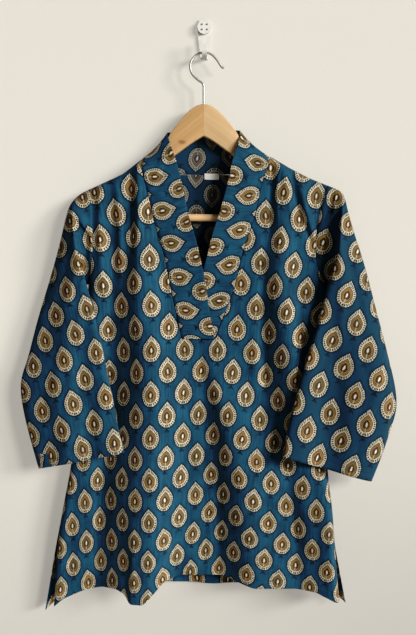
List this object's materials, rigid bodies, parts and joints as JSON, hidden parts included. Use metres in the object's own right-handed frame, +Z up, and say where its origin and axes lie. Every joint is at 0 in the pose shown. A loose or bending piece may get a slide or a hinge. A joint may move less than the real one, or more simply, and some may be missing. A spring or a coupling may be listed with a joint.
{
  "type": "kurta tunic on a hanger and wall hook",
  "caption": "Short printed cotton kurta tunic with a wrapped stand collar, V neck, three-quarter sleeves and side slits, hung on a wooden hanger from a wall hook.",
  "frame": {"origin": "middle of the wall hook's flat back, which is the mount wall_face and lies on the wall", "axes": "+X to the viewer's right, +Y into the wall along the mount's outward normal, +Z up along the garment's length"},
  "size_m": [0.6084, 0.077, 0.9671],
  "materials": {
    "cotton_print": "printed plain-weave cotton",
    "label_tape": "white woven tape",
    "hanger_wood": "clear satin lacquer",
    "hook_steel": "nickel-plated wire",
    "white_plastic": "white, slightly glossy",
    "pin_steel": "bare pin heads"
  },
  "bodies": {
    "root": {"front": "cotton_print", "back": "cotton_print", "collar_band": "cotton_print", "sleeve_left": "cotton_print", "sleeve_right": "cotton_print", "neck_label": "label_tape", "hanger_arm_left": "hanger_wood", "hanger_arm_right": "hanger_wood", "trouser_bar": "hanger_wood", "hanger_hook": "hook_steel", "wall_hook": "white_plastic", "hook_pin_1": "pin_steel", "hook_pin_2": "pin_steel", "hook_pin_3": "pin_steel", "hook_pin_4": "pin_steel"}
  },
  "joints": []
}
